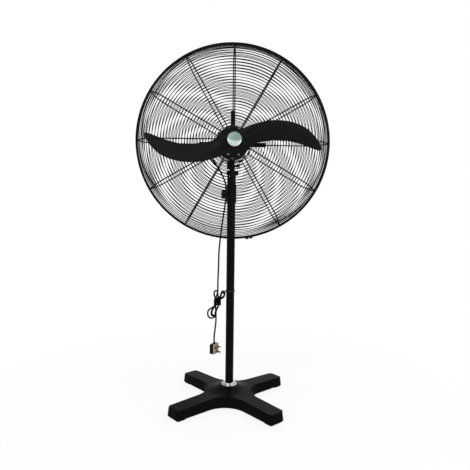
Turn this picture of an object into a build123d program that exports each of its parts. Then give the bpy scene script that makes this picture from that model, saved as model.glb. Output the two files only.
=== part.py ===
import os
from math import pi, sqrt, tan

from build123d import *

# Driving dimensions in millimetres: the fan faces -Y, the pole is the Z axis, the floor is z = 0
HEAD_Z = 1179.0          # height of the fan axis
TILT_Z = 1060.0          # height of the tilt pin
GUARD_R = 405.0          # outside of the guard band
RIM_Y = -167.0           # plane where the front and rear guards meet
BAND_W = 40.0
BAND_T = 1.5
RIB_R = 2.5              # guard rib wire radius
RING_R = 1.5             # guard ring wire radius
RING_PITCH = 11.8        # spacing of the guard rings along a rib
RIB_COUNT = 12
WELD_GAP = 0.1           # room left between crossing guard wires
STRAP_W = 19.0
STRAP_R = 146.0          # reach of the rear guard's flat straps
BLADE_T = 3.0            # blade sheet thickness
BLADE_Y = -186.0         # plane of the blade's centre disc
DISC_R = 66.0
RIVET_PITCH_R = 34.0
MOTOR_R = 68.0
MOTOR_SCREW_R = 60.0     # pitch radius of the motor's screws and of the strap bolts
MOTOR_EDGE = 4.5         # rounding of the motor's ends
MOTOR_FRONT = -85.0
MOTOR_SPLIT = -20.0
MOTOR_BACK = 45.0
SHELL_T = 3.0
SHAFT_R = 6.0
PIN_R = 8.0              # swivel pin
FIT = 0.05               # radial clearance of turning and pushed fits
CASE_X0, CASE_X1 = -34.0, 44.0
CASE_Y0, CASE_Y1 = 45.2, 100.0
CASE_Z0, CASE_Z1 = -45.0, 42.0
CASE_T = 4.0
WORM_R = 6.0             # pitch radius of the worm
WHEEL_TEETH = 24
WHEEL_R = 15.0           # pitch radius of the worm wheel
WHEEL_X, WHEEL_Y = 21.0, 72.0
CRANK_R = 20.0
LINK_X, LINK_Y = 28.0, 4.0
POLE_R = 19.0
POLE_WALL = 1.6
POLE_TOP = 1000.0
INNER_R = 15.0
COLLAR_R = 23.0
COLLAR_Z0, COLLAR_Z1 = 926.0, 1010.0
KNOB_Z = 964.0
FOOT_H = 8.0             # rubber feet under the leg ends
HUB_TOP = 78.0           # top of the base at the pole
FLANGE_R = 36.0
LEG_TOP = 47.0           # top of a leg at its end
LEG_R = 321.0            # pole axis to the end of a leg
LEG_HALF = 44.0
LEG_CORNER = 14.0        # cut corners of a leg's end
WEB_R = 108.0            # curve between two legs
SIDE_TAPER = 6.0         # lean of the base's side walls, in degrees
# radius and height along the base's top
CROWN = [(40.0, HUB_TOP), (56.0, 70.0), (74.0, 63.5), (92.0, 58.8), (112.0, 55.5), (LEG_R, LEG_TOP)]
BASE_TURN = -6.7         # the base stands turned a little on the pole
CAST_T = 6.0
CORD_R = 3.75
HANK_STEP = 8.3          # spacing of the hank's turns, front to back
HANK_Y = 8.0
WAIST_Z = 467.0
WAIST_LEFT, WAIST_RIGHT = -67.0, -51.0
TIE_HALF = 12.0          # half height of the wrap round the hank
TIE_ROOM = 4.7           # room beside the cords, which spread above and below the waist
PLUG_AT = (-72.5, -9.0, 251.5)
PLUG_TURN = -29.0

FROM_BASE = (Align.CENTER, Align.CENTER, Align.MIN)
nodes = {}


def add(name, *shapes):
    solids = [solid for shape in shapes for solid in shape.solids()]
    nodes[name] = solids[0] if len(solids) == 1 else Compound(solids)


def rod_z(r, z0, z1, x=0.0, y=0.0):
    return Pos(x, y, (z0 + z1) / 2) * Cylinder(r, z1 - z0)


def rod_y(r, y0, y1, x=0.0, z=0.0):
    return Pos(x, (y0 + y1) / 2, z) * Rot(-90, 0, 0) * Cylinder(r, y1 - y0)


def rod_x(r, x0, x1, y=0.0, z=0.0):
    return Pos((x0 + x1) / 2, y, z) * Rot(0, 90, 0) * Cylinder(r, x1 - x0)


def block(x0, x1, y0, y1, z0, z1):
    return Pos((x0 + x1) / 2, (y0 + y1) / 2, (z0 + z1) / 2) * Box(x1 - x0, y1 - y0, z1 - z0)


def at_head(*shapes):
    # pieces drawn about the fan axis, lifted to its height
    return [Pos(0, 0, HEAD_Z) * shape for shape in shapes]


def around(shape, count):
    # copies of a piece about the fan axis
    return [Rot(0, 360.0 / count * i, 0) * shape for i in range(count)]


def soften(shape, axis, index, radius):
    # rounds the edges at one end of a piece
    return fillet(shape.edges().group_by(axis)[index], radius)


def tube(points, radius, label):
    # a cord along straight runs joined by the largest arcs that the runs allow
    pts = [Vector(*p) for p in points]
    radii = []
    for a, b, c in zip(pts, pts[1:], pts[2:]):
        half_angle = (b - a).get_angle(c - b) * pi / 360
        radii.append(0.45 * min((b - a).length, (c - b).length) / tan(half_angle))
    path = FilletPolyline(*pts, radius=radii)
    solid = sweep(Plane(path @ 0, z_dir=path % 0) * Circle(radius), path=path)
    print(label, "least radius", round(min(radii), 1), "length", round(path.length, 1),
          "volume ratio", round(solid.volume / (pi * radius ** 2 * path.length), 4))
    return solid


# Base: hollow cross casting, rubber feet, chrome flange, and the bolt that holds the pole
def cross_plan(inset):
    half, web, reach = LEG_HALF - inset, WEB_R + inset, LEG_R - inset
    start = half + web
    leg = [(start, -half), (reach - LEG_CORNER, -half), (reach, LEG_CORNER - half),
           (reach, half - LEG_CORNER), (reach - LEG_CORNER, half), (start, half)]
    near = start - web * sqrt(0.5)
    edges = []
    for i in range(4):
        turned = [Vector(x, y).rotate(Axis.Z, 90 * i) for x, y in leg]
        edges += [Line(a, b) for a, b in zip(turned, turned[1:])]
        web_end = Vector(half, start).rotate(Axis.Z, 90 * i)
        edges.append(ThreePointArc(turned[-1], Vector(near, near).rotate(Axis.Z, 90 * i), web_end))
    return Rot(0, 0, 45 + BASE_TURN) * make_face(edges)


def cross_body(inset, z0, drop):
    # the legs' tops fall from the middle of the base to their ends
    walls = extrude(Pos(0, 0, z0) * cross_plan(inset), HUB_TOP + 6 - z0, taper=SIDE_TAPER)
    top = [(0, HUB_TOP)] + CROWN + [(LEG_R + 30, LEG_TOP)]
    outline = [(0, z0), (LEG_R + 30, z0)] + [(r, z - drop) for r, z in reversed(top)]
    return walls & revolve(Plane.XZ * make_face(Polyline(*outline, close=True)), Axis.Z)


def build_base():
    cross = cross_body(0, FOOT_H, 0) - cross_body(CAST_T, FOOT_H - 0.5, CAST_T)
    cross -= rod_z(6.4, 0, HUB_TOP + 1)
    pad = Pos(LEG_R - 30, 0, FOOT_H / 2) * Box(46, 74, FOOT_H)
    pad = fillet(pad.edges().filter_by(Axis.Z), 10)
    flange = rod_z(FLANGE_R, HUB_TOP, HUB_TOP + 3)
    flange += Pos(0, 0, HUB_TOP + 3) * Cone(FLANGE_R - 1.5, 25, 11, align=FROM_BASE)
    under = HUB_TOP - CAST_T
    bolt = rod_z(6, under - 11, HUB_TOP + 25) + Pos(0, 0, under - 11) * extrude(RegularPolygon(10.5, 6), 8)
    washer = rod_z(15, under - 2.9, under - 0.1) - rod_z(6.4, under - 5, under + 5)
    add("base_cross", cross)
    add("base_feet", *[Rot(0, 0, 45 + BASE_TURN + 90 * i) * pad for i in range(4)])
    add("foot_flange", flange - rod_z(POLE_R + FIT, under, HUB_TOP + 20))
    add("pole_bolt", bolt)
    add("pole_washer", washer)
    insert = rod_z(POLE_R - POLE_WALL - FIT, HUB_TOP, HUB_TOP + 30)
    add("pole_insert", insert - rod_z(6 + FIT, under, HUB_TOP + 40))


# Pole: outer tube, clamp collar with its knob, sliding inner tube with the fork that carries the head
def build_pole():
    stud_hole = rod_x(4.3, -40, 0, 0, KNOB_Z)
    collar = rod_z(COLLAR_R, COLLAR_Z0, COLLAR_Z1) + rod_x(9, -27, -15, 0, KNOB_Z)
    collar = soften(collar, Axis.Z, -1, 2)
    collar -= rod_z(POLE_R + FIT, 900, POLE_TOP) + rod_z(INNER_R + 0.3, 990, 1020)
    add("pole_tube", rod_z(POLE_R, HUB_TOP, POLE_TOP) - rod_z(POLE_R - POLE_WALL, 60, 1010) - stud_hole)
    add("pole_collar", collar - stud_hole)
    add("pole_bush", rod_z(POLE_R - POLE_WALL - FIT, 935, POLE_TOP)
        - rod_z(INNER_R + FIT, 930, 1010) - stud_hole)
    grip = rod_x(21.5, -46, -27.3)
    for i in range(7):
        grip -= Rot(360 / 7 * i, 0, 0) * rod_x(6, -50, -20, 0, 24)
    grip = chamfer(grip.edges().group_by(Axis.X)[0], 2)
    knob = grip + rod_x(4, -28, -INNER_R - 0.3)
    add("height_knob", Pos(0, 0, KNOB_Z) * knob)
    add("inner_tube", rod_z(INNER_R, 500, 1040) - rod_z(INNER_R - 2, 490, 1035))
    fork = rod_z(20, COLLAR_Z1 + 0.3, 1046)
    for side in (-1, 1):
        ear = block(-4, 4, -13, 13, 1040, TILT_Z) + rod_x(13, -4, 4, 0, TILT_Z)
        fork += Pos(15 * side, 0, 0) * ear
    fork -= rod_x(5 + FIT, -40, 40, 0, TILT_Z) + rod_z(INNER_R + FIT, 1000, 1040.1)
    add("neck_fork", fork)
    pin = rod_x(5, -19.2, 32, 0, TILT_Z) + rod_x(8.5, -24, -19.2, 0, TILT_Z)
    add("tilt_pin", pin)
    nut = rod_x(9.5, 19.4, 30, 0, TILT_Z)
    for i in range(6):
        nut -= Pos(0, 0, TILT_Z) * Rot(60 * i, 0, 0) * rod_x(2.2, 22, 40, 0, 10.4)
    add("tilt_nut", nut - rod_x(5 + 2 * FIT, 10, 40, 0, TILT_Z))


# Tilt bracket with its swivel socket, thrust washer and the oscillation link
def build_bracket():
    top = 1098.0
    bracket = rod_z(18.5, 1078, top, -4) + block(-10.7, 10.7, -12, 12, TILT_Z, 1080)
    bracket += rod_x(12, -10.7, 10.7, 0, TILT_Z) + block(12, 37, -5, 13, 1088, top)
    bracket += rod_z(4, top, top + 5, LINK_X, LINK_Y)
    bracket -= rod_x(5 + FIT, -30, 30, 0, TILT_Z) + rod_z(PIN_R + FIT, 1085.5, top + 1)
    add("tilt_bracket", bracket)
    add("thrust_washer", rod_z(13, top, top + 0.8) - rod_z(PIN_R + 0.2, top - 1, top + 2))
    reach_x, reach_y = WHEEL_X + CRANK_R - LINK_X, WHEEL_Y - LINK_Y
    link = Rot(0, 0, Vector(1, 0).get_signed_angle(Vector(reach_x, reach_y)))
    eye = SlotCenterToCenter(sqrt(reach_x ** 2 + reach_y ** 2), 16)
    plate = Pos(LINK_X + reach_x / 2, LINK_Y + reach_y / 2, top + 1) * link * extrude(eye, 3)
    plate -= rod_z(4.2, 1090, 1110, LINK_X, LINK_Y)
    plate -= rod_z(3.5, 1090, 1110, LINK_X + reach_x, LINK_Y + reach_y)
    add("oscillation_link", plate)


# Motor: two shells, stator, windings, rotor, shaft, bearings
def build_motor():
    front = soften(rod_y(MOTOR_R, MOTOR_FRONT, MOTOR_SPLIT), Axis.Y, 0, MOTOR_EDGE)
    front -= rod_y(MOTOR_R - SHELL_T, MOTOR_FRONT + 4, MOTOR_SPLIT + 1)
    front += rod_y(18, MOTOR_FRONT + 3, -70) - rod_y(13 + FIT, MOTOR_FRONT + 4, -60)
    rear = soften(rod_y(MOTOR_R, MOTOR_SPLIT, MOTOR_BACK), Axis.Y, -1, MOTOR_EDGE)
    rear += rod_z(13, -80, 4 - MOTOR_R) + block(-22, 0, -13, 13, -80, 8 - MOTOR_R)
    rear -= rod_y(MOTOR_R - SHELL_T, MOTOR_SPLIT - 1, MOTOR_BACK - 4) + rod_z(PIN_R + FIT, -81, -74)
    rear += rod_y(18, 30, MOTOR_BACK - 3) - rod_y(13 + FIT, 20, MOTOR_BACK - 4)
    way = rod_y(SHAFT_R + 1, -100, 60)
    add("motor_front_shell", *at_head(front - way))
    add("motor_rear_shell", *at_head(rear - way))
    add("swivel_pin", *at_head(rod_z(PIN_R, -93, -74.2)))
    core = rod_y(MOTOR_R - SHELL_T - 0.2, -50, 0) - rod_y(40, -60, 10)
    add("stator_core", *at_head(core))
    coil = rod_y(59, 0, 14) - rod_y(46, -1, 15)
    coil = fillet(coil.edges().group_by(Axis.Y)[-1], 5)
    add("stator_windings", *at_head(Pos(0, 0.2, 0) * coil, Pos(0, -50.2, 0) * Rot(180, 0, 0) * coil))
    bearing = rod_y(13, 0, 8) - rod_y(SHAFT_R + FIT, -1, 9)
    add("bearings", *at_head(Pos(0, MOTOR_FRONT + 4.1, 0) * bearing, Pos(0, 32.8, 0) * bearing))
    add("rotor_core", *at_head(rod_y(39.4, -50, 0) - rod_y(SHAFT_R + FIT, -60, 10)))
    add("shaft", *at_head(rod_y(SHAFT_R, BLADE_Y - 17, 52) + rod_y(3, 52, 92)))
    screw = rod_y(3.5, MOTOR_BACK - 8, MOTOR_BACK + 3) - rod_y(1.6, MOTOR_BACK + 1.5, 60)
    hole = around(rod_y(3.5 + FIT, 30, 60, 0, MOTOR_SCREW_R), 4)
    for cut in at_head(*hole):
        nodes["motor_rear_shell"] -= cut
    add("motor_rear_shell", nodes["motor_rear_shell"])
    add("motor_screws", *at_head(*around(Pos(0, 0, MOTOR_SCREW_R) * screw, 4)))


# Gear case behind the motor: worm, wheel, crank, clutch knob, speed switch, capacitor, cable gland
def build_gear_case():
    case = fillet(block(CASE_X0, CASE_X1, CASE_Y0, CASE_Y1, CASE_Z0, CASE_Z1).edges().filter_by(Axis.Y), 12)
    hollow = block(CASE_X0 + CASE_T, CASE_X1 - CASE_T, CASE_Y0 + CASE_T, CASE_Y1 + 1,
                   CASE_Z0 + CASE_T, CASE_Z1 - CASE_T)
    case -= fillet(hollow.edges().filter_by(Axis.Y), 8)
    case -= rod_y(SHAFT_R + 1, 40, 60) + rod_z(4 + FIT, -60, -30, WHEEL_X, WHEEL_Y)
    case -= rod_z(3.5 + FIT, 30, 60, WHEEL_X, WHEEL_Y)
    cover = block(CASE_X0, CASE_X1, CASE_Y1 + 0.1, 109, CASE_Z0, CASE_Z1)
    cover = soften(fillet(cover.edges().filter_by(Axis.Y), 12), Axis.Y, -1, 4)
    dial_x, dial_z = -18.0, 0.0
    stem_hole = rod_y(3.4, 80, 130, dial_x, dial_z)
    add("gear_case", *at_head(case))
    add("rear_cover", *at_head(cover - stem_hole))
    add("speed_switch", *at_head(block(-29.5, -8, 87, 99.9, -13, 13) - stem_hole))
    dial = soften(rod_y(14, 109.4, 122, dial_x, dial_z), Axis.Y, -1, 2)
    dial += block(dial_x - 2, dial_x + 2, 121, 127, dial_z - 13, dial_z + 13)
    add("speed_knob", *at_head(dial + rod_y(3, 90, 110, dial_x, dial_z)))
    add("capacitor", *at_head(fillet(block(-26, -9, 50, 80, -38, -18).edges(), 3)))
    gland = rod_x(9, -40, CASE_X0 - 0.1, 64, 27)
    gland += Pos(-40, 64, 27) * Rot(0, -90, 0) * Cone(7, 4.2, 14, align=FROM_BASE)
    add("cable_gland", *at_head(gland))
    clutch = rod_z(3.5, 12, 50, WHEEL_X, WHEEL_Y) + soften(rod_z(10, 50, 66, WHEEL_X, WHEEL_Y), Axis.Z, -1, 3)
    add("clutch_knob", *at_head(clutch))
    lead = 2 * pi * WHEEL_R / WHEEL_TEETH
    turns = 5
    helix = Helix(lead, turns * lead, WORM_R)
    flank = [(-1.8, -1.25), (1.0, -0.35), (1.0, 0.35), (-1.8, 1.25)]
    thread_plane = Plane(helix @ 0, x_dir=(1, 0, 0), z_dir=helix % 0)
    thread = sweep(thread_plane * make_face(Polyline(*flank, close=True)), path=helix, is_frenet=True)
    core = Pos(0, 0, -3) * Cylinder(4.4, turns * lead + 6, align=FROM_BASE)
    worm = Pos(0, WHEEL_Y - turns * lead / 2, 0) * Rot(-90, 0, 0) * (core + thread)
    add("worm", *at_head(worm - rod_y(3 + FIT, 50, 100)))
    rim = []
    for i in range(WHEEL_TEETH):
        for r, offset in ((13.4, -1.25), (16.0, -0.35), (16.0, 0.35), (13.4, 1.25)):
            rim.append(Vector(r, offset).rotate(Axis.Z, 180 + 360 / WHEEL_TEETH * i))
    wheel = extrude(make_face(Polyline(*rim, close=True)), 2, both=True)
    spindle = rod_z(4, -56, 10)
    add("worm_wheel", *at_head(Pos(WHEEL_X, WHEEL_Y, 0) * (wheel + spindle)))
    disc = rod_z(CRANK_R + 5, -57, -50) - rod_z(4 + FIT, -56, -40)
    disc += rod_z(3.2, -76.5, -57, CRANK_R)
    add("crank_disc", *at_head(Pos(WHEEL_X, WHEEL_Y, 0) * disc))


# Blade: one S-shaped sheet, pitched and cambered, with a round middle riveted to its hub
BLADE_STATIONS = [
    # front edge x and z, back edge x and z, front edge and back edge distance from the disc's plane
    (22, 46, 22, -46, 0, 0),
    (50, 60, 56, -38, -7, 7),
    (84, 72.5, 86, -6, -12, 11),
    (131, 85, 143, 6, -15, 13),
    (181, 89, 200, 11.5, -16, 14),
    (225, 85.5, 246, 4.5, -16, 13),
    (267, 74.5, 286, -5.5, -15, 11),
    (306, 55.5, 314, -16, -12, 9),
    (336, 29, 338, -25, -9, 6),
    (356, 4, 354, -30, -5, 4),
    (368, -12, 364, -33, -2, 2),
]


def blade_section(front_x, front_z, back_x, back_z, front_y, back_y):
    a = Vector(front_x, BLADE_Y + front_y, front_z)
    b = Vector(back_x, BLADE_Y + back_y, back_z)
    normal = (b - a).cross(Vector(1, 0, 0)).normalized()
    camber = normal * (0.07 * (b - a).length)
    skin = normal * (BLADE_T / 2)
    middle = (a + b) * 0.5 + camber
    face_up = ThreePointArc(a + skin, middle + skin, b + skin)
    face_down = ThreePointArc(b - skin, middle - skin, a - skin)
    return make_face([face_up, Line(b + skin, b - skin), face_down, Line(a - skin, a + skin)])


def build_rotor():
    half = loft([blade_section(*station) for station in BLADE_STATIONS])
    disc = rod_y(DISC_R, BLADE_Y - 3, BLADE_Y + 3)
    blade = disc + half + Rot(0, 180, 0) * half
    bore = rod_y(SHAFT_R + FIT, BLADE_Y - 30, 0)
    rivet = rod_y(4, BLADE_Y - 5.5, BLADE_Y - 3) + rod_y(3, BLADE_Y - 3, BLADE_Y + 6)
    rivet_holes = around(rod_y(3 + FIT, BLADE_Y - 9, BLADE_Y + 6.1, 0, RIVET_PITCH_R), 6)
    boss = rod_y(42, BLADE_Y + 3, BLADE_Y + 9) + rod_y(20, BLADE_Y + 9, -104)
    seats = around(rod_y(4 + FIT, BLADE_Y - 30, BLADE_Y - 3, 0, RIVET_PITCH_R), 6)
    for hole, seat in zip(rivet_holes, seats):
        blade -= hole + seat
        boss -= hole
    add("fan_blade", *at_head(blade - bore))
    add("hub_boss", *at_head(boss - bore))
    add("hub_rivets", *at_head(*around(Pos(0, 0, RIVET_PITCH_R) * rivet, 6)))
    nut = Pos(0, BLADE_Y - 3, 0) * Rot(90, 0, 0) * extrude(RegularPolygon(12, 6), 9)
    nut += rod_y(10, BLADE_Y - 20, BLADE_Y - 12)
    nut = soften(nut, Axis.Y, 0, 4)
    add("hub_nut", *at_head(nut - rod_y(SHAFT_R + FIT, BLADE_Y - 17.1, 0)))


# Guards: ribs along a bowl profile, ring wires on their outside, a clamp band round the joint
def profile(centre_r, centre_y, knee_r, knee_y, end_y, knee_radius):
    end_r = GUARD_R - BAND_T - RIB_R - 1.5
    return FilletPolyline((centre_r, centre_y), (knee_r, knee_y), (end_r, end_y), radius=knee_radius)


def ring(path, distance, side, offset, wire):
    # one six-sided ring beside the rib line: side +1 is the outside of a front guard, -1 of a rear guard
    p = path.position_at(distance, position_mode=PositionMode.LENGTH)
    t = path.tangent_at(distance, position_mode=PositionMode.LENGTH)
    radius, y = p.X + side * t.Y * offset, p.Y - side * t.X * offset
    return revolve(Pos(radius, y) * RegularPolygon(wire, 6), Axis.Y)


def guard(name, path, side, first, hub_wire):
    # the hub ring lies behind the ribs
    rib = sweep(Plane(path @ 0, z_dir=path % 0) * Circle(RIB_R), path=path)
    add(f"{name}_guard_ribs", *at_head(*around(rib, RIB_COUNT)))
    clear = RIB_R + RING_R + WELD_GAP
    last = path.length - 12
    count = round((last - first) / RING_PITCH)
    rings = [ring(path, first + (last - first) * i / count, side, clear, RING_R) for i in range(count + 1)]
    rings.append(ring(path, path.length - 5, -side, 2 * RIB_R + WELD_GAP, RIB_R))
    rings.append(ring(path, RIB_R, -1, RIB_R + hub_wire + WELD_GAP, hub_wire))
    add(f"{name}_guard_rings", *at_head(*rings))
    print(name, "guard rings", len(rings))


def build_guards():
    front = profile(27, -260, 352, -246, RIM_Y - 5, 62)
    rear = profile(74, -80.5, 358, -84, RIM_Y + 5, 52)
    guard("front", front, 1, 17, 2)
    guard("rear", rear, -1, 9, 3)
    strap = block(MOTOR_SCREW_R - 8, STRAP_R, -88.2, MOTOR_FRONT - 0.1, -STRAP_W / 2, STRAP_W / 2)
    strap = fillet(strap.edges().filter_by(Axis.Y), 4)
    bolt = rod_y(6, -92.2, -88.2) + rod_y(3, -88.2, MOTOR_FRONT + 1)
    strap -= rod_y(3 + FIT, -95, -80, MOTOR_SCREW_R)
    for cut in at_head(*around(rod_y(3 + FIT, -95, MOTOR_FRONT + 1.1, MOTOR_SCREW_R), 4)):
        nodes["motor_front_shell"] -= cut
    add("motor_front_shell", nodes["motor_front_shell"])
    add("rear_guard_straps", *at_head(*around(strap, 4)))
    add("strap_bolts", *at_head(*around(Pos(MOTOR_SCREW_R, 0, 0) * bolt, 4)))
    plate = rod_y(37, -264.7, -262.7)
    badge = soften(rod_y(29, -270, -264.8), Axis.Y, 0, 3)
    add("front_plate", *at_head(plate))
    add("badge", *at_head(badge))
    band = rod_y(GUARD_R, RIM_Y - BAND_W / 2, RIM_Y + BAND_W / 2)
    band -= rod_y(GUARD_R - BAND_T, RIM_Y - BAND_W, RIM_Y + BAND_W)
    add("guard_band", *at_head(band))
    lug = block(-14, 14, RIM_Y - 8, RIM_Y + 8, -GUARD_R - 9, -GUARD_R - 0.3)
    lug -= block(-3, 3, RIM_Y - 9, RIM_Y + 9, -GUARD_R - 10, -GUARD_R - 2)
    screw = rod_x(2.5, -20, 20, RIM_Y, -GUARD_R - 5) + rod_x(4.5, 14.1, 20, RIM_Y, -GUARD_R - 5)
    lug -= rod_x(2.5 + FIT, -30, 30, RIM_Y, -GUARD_R - 5)
    clamp_turn = Rot(0, -10, 0)
    add("band_lug", *at_head(clamp_turn * lug))
    add("band_screw", *at_head(clamp_turn * screw))


# Supply cord: head to neck, down the pole, the tied hank, the tail and the plug
CORD_UPPER = [
    (-54, 64, 1206), (-76, 64, 1206), (-96, 63.2, 1195.3), (-108, 60.3, 1176), (-109, 55.3, 1153.5),
    (-100, 49.6, 1132), (-78, 42.3, 1112.5), (-61, 36, 1088), (-46, 30, 1060),
]
CORD_HANG = [
    (-46, 30, 1060), (-31, 24, 1032), (-25, 24, 1003), (-24, 26, 973), (-25, 27, 944), (-28, 27.5, 915),
    (-33, 28, 878), (-39, 28, 838), (-45, 28, 790), (-50, 27.5, 742), (-54, 27, 700), (-54.5, 26.5, 664),
    (-55, 24.5, 628), (-56.5, 17, 590), (-57.5, HANK_Y, 558), (-57.5, HANK_Y, 532),
]
CORD_TAIL = [
    (WAIST_LEFT, HANK_Y - 3 * HANK_STEP, 454), (WAIST_LEFT, HANK_Y - 3 * HANK_STEP, 428), (-64.5, -17.5, 397),
    (-66, -16.5, 364), (-69.5, -14.2, 336), (-72.5, -11, 312), (-72.5, -9, 295), (-72.5, -9, 279),
]
LOWER_LOBES = [(-103.5, -67, 407.5), (-87, -68, 411), (-84, -65, 416)]
UPPER_LOBES = [(-74.5, -58, 511), (-41, -25.5, 512), (-44, -28, 506)]


def s_run(a, b):
    # two equal arcs between points where the cord runs straight up or down
    a, b = Vector(*a), Vector(*b)
    middle = (a + b) * 0.5
    first = TangentArc(a, middle, tangent=(0, 0, 1 if b.Z > a.Z else -1))
    return [first, TangentArc(middle, b, tangent=first % 1)]


def half_turn(left, right, y, z, up, from_left):
    crown = Vector((left + right) / 2, y, z + (right - left) / 2 * (1 if up else -1))
    ends = [Vector(left, y, z), Vector(right, y, z)]
    if not from_left:
        ends.reverse()
    return [ThreePointArc(ends[0], crown, ends[1])]


def hank_edges():
    start = CORD_HANG[-1]
    straight = (start[0], start[1], start[2] - 2 * CORD_R)
    edges = [Line(start, straight)] + s_run(straight, (WAIST_LEFT, HANK_Y, WAIST_Z))
    for i, (low, top) in enumerate(zip(LOWER_LOBES, UPPER_LOBES)):
        y = HANK_Y - i * HANK_STEP
        behind = y - HANK_STEP
        edges += s_run((WAIST_LEFT, y, WAIST_Z), (low[0], y, low[2]))
        edges += half_turn(low[0], low[1], y, low[2], False, True)
        edges += s_run((low[1], y, low[2]), (WAIST_RIGHT, y, WAIST_Z))
        edges += s_run((WAIST_RIGHT, y, WAIST_Z), (top[1], behind, top[2]))
        edges += half_turn(top[0], top[1], behind, top[2], True, False)
        edges += s_run((top[0], behind, top[2]), (WAIST_LEFT, behind, WAIST_Z))
    edges.append(Line((WAIST_LEFT, behind, WAIST_Z), CORD_TAIL[0]))
    return edges


def least_gap(path, radius):
    # nearest approach of the cord to itself, between points more than four diameters apart along it
    step = radius / 2
    count = int(path.length / step)
    points = [path.position_at(i / count) for i in range(count + 1)]
    skip = int(8 * radius / step)
    return min((points[i] - points[j]).length for i in range(count + 1)
               for j in range(i + skip, count + 1)) - 2 * radius


def build_cord():
    add("cord_upper", tube(CORD_UPPER, CORD_R, "cord_upper"))
    add("cord_hang", tube(CORD_HANG, CORD_R, "cord_hang"))
    add("cord_tail", tube(CORD_TAIL, CORD_R, "cord_tail"))
    path = Wire(hank_edges())
    hank = sweep(Plane(path @ 0, z_dir=path % 0) * Circle(CORD_R), path=path)
    add("cord_hank", hank)
    print("cord_hank length", round(path.length, 1), "least gap", round(least_gap(path, CORD_R), 2),
          "volume ratio", round(hank.volume / (pi * CORD_R ** 2 * path.length), 4))
    y0, y1 = HANK_Y - 3 * HANK_STEP - CORD_R - 1, HANK_Y + CORD_R + 1
    x0, x1 = WAIST_LEFT - CORD_R - TIE_ROOM, WAIST_RIGHT + CORD_R + TIE_ROOM
    wrap = block(x0 - 1.6, x1 + 1.6, y0 - 1.6, y1 + 1.6, WAIST_Z - TIE_HALF, WAIST_Z + TIE_HALF)
    wrap = fillet(wrap.edges().filter_by(Axis.Z), 4)
    hollow = block(x0, x1, y0, y1, WAIST_Z - TIE_HALF - 1, WAIST_Z + TIE_HALF + 1)
    wrap -= fillet(hollow.edges().filter_by(Axis.Z), 2.5)
    add("hank_tie", wrap)
    loop = rod_z(POLE_R + 2.5, 516, 524) - rod_z(POLE_R + 0.5, 510, 530)
    loop += block(-23, -POLE_R - 1, -16, -12, 516, 524) - rod_z(POLE_R + 1, 510, 530)
    add("pole_tie", loop)


def build_plug():
    # fused three-pin plug: face towards local +X, cord in at the top
    back = fillet(block(-21, 0, -21, 21, -22.5, 22.5).edges().group_by(Axis.X)[0], 6)
    back += rod_z(5.5, 18, 27.5, -7)
    face = fillet(block(0.05, 5, -22, 22, -23, 23).edges().filter_by(Axis.X), 5)
    earth = block(5.05, 27, -2, 2, -17, -9)
    line = block(5.05, 23, -3.2, 3.2, 5, 9)
    place = Pos(*PLUG_AT) * Rot(0, 0, PLUG_TURN) * Pos(7, 0, 0)
    add("plug_back", place * back)
    add("plug_face", place * face)
    add("plug_pins", *[place * pin for pin in (earth, Pos(0, 11, 0) * line, Pos(0, -11, 0) * line)])


for build in (build_base, build_pole, build_bracket, build_motor, build_gear_case, build_rotor, build_guards,
              build_cord, build_plug):
    build()

os.makedirs("parts", exist_ok=True)
for name, shape in nodes.items():
    export_step(shape, f"parts/{name}.step")
print(len(nodes), "nodes")
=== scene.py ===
import math

import bmesh
import bpy
from mathutils import Matrix, Vector


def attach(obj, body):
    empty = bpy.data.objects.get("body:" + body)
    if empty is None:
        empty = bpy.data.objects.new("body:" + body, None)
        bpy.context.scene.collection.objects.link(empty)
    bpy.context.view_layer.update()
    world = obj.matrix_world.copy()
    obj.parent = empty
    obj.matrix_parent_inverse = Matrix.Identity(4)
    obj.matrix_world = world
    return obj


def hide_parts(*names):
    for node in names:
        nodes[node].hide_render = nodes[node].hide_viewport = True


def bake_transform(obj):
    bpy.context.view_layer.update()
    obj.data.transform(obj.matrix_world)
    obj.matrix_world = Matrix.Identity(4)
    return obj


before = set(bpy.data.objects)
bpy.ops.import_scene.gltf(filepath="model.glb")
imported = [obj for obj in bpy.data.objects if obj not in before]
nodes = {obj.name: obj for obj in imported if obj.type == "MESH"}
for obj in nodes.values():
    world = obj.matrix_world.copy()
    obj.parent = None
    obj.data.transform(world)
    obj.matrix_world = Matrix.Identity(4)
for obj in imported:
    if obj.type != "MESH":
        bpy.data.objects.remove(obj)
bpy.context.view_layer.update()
scene = bpy.context.scene
headHeight = 1.179      # the fan's axis above the floor
print("frame loaded:", len(nodes), "nodes")


def addNode(tree, kind, sockets=None, **settings):
    node = tree.nodes.new(kind)
    for key, value in settings.items():
        setattr(node, key, value)
    for key, value in (sockets or {}).items():
        if isinstance(value, bpy.types.NodeSocket):
            tree.links.new(value, node.inputs[key])
        else:
            node.inputs[key].default_value = value
    return node


def nodeOut(tree, kind, sockets=None, **settings):
    # the first output of a new node
    return addNode(tree, kind, sockets, **settings).outputs[0]


def mathOut(tree, operation, *values):
    return nodeOut(tree, "ShaderNodeMath", dict(enumerate(values)), operation=operation)


def hexColour(text):
    # an sRGB colour as linear values
    channels = [int(text[i:i + 2], 16) / 255 for i in (1, 3, 5)]
    return [c / 12.92 if c <= 0.04045 else ((c + 0.055) / 1.055) ** 2.4 for c in channels] + [1.0]


def link(obj):
    scene.collection.objects.link(obj)
    return obj


def joinPieces(pieces):
    # several meshes of one piece become one mesh
    joined = bmesh.new()
    for piece in pieces:
        joined.from_mesh(piece.data)
    joined.to_mesh(pieces[0].data)
    joined.free()
    for piece in pieces[1:]:
        bpy.data.objects.remove(piece)
    return pieces[0]


def bake(obj):
    # the mesh that an object's modifiers or bevel make of it
    return bpy.data.meshes.new_from_object(obj.evaluated_get(bpy.context.evaluated_depsgraph_get()))


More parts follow.
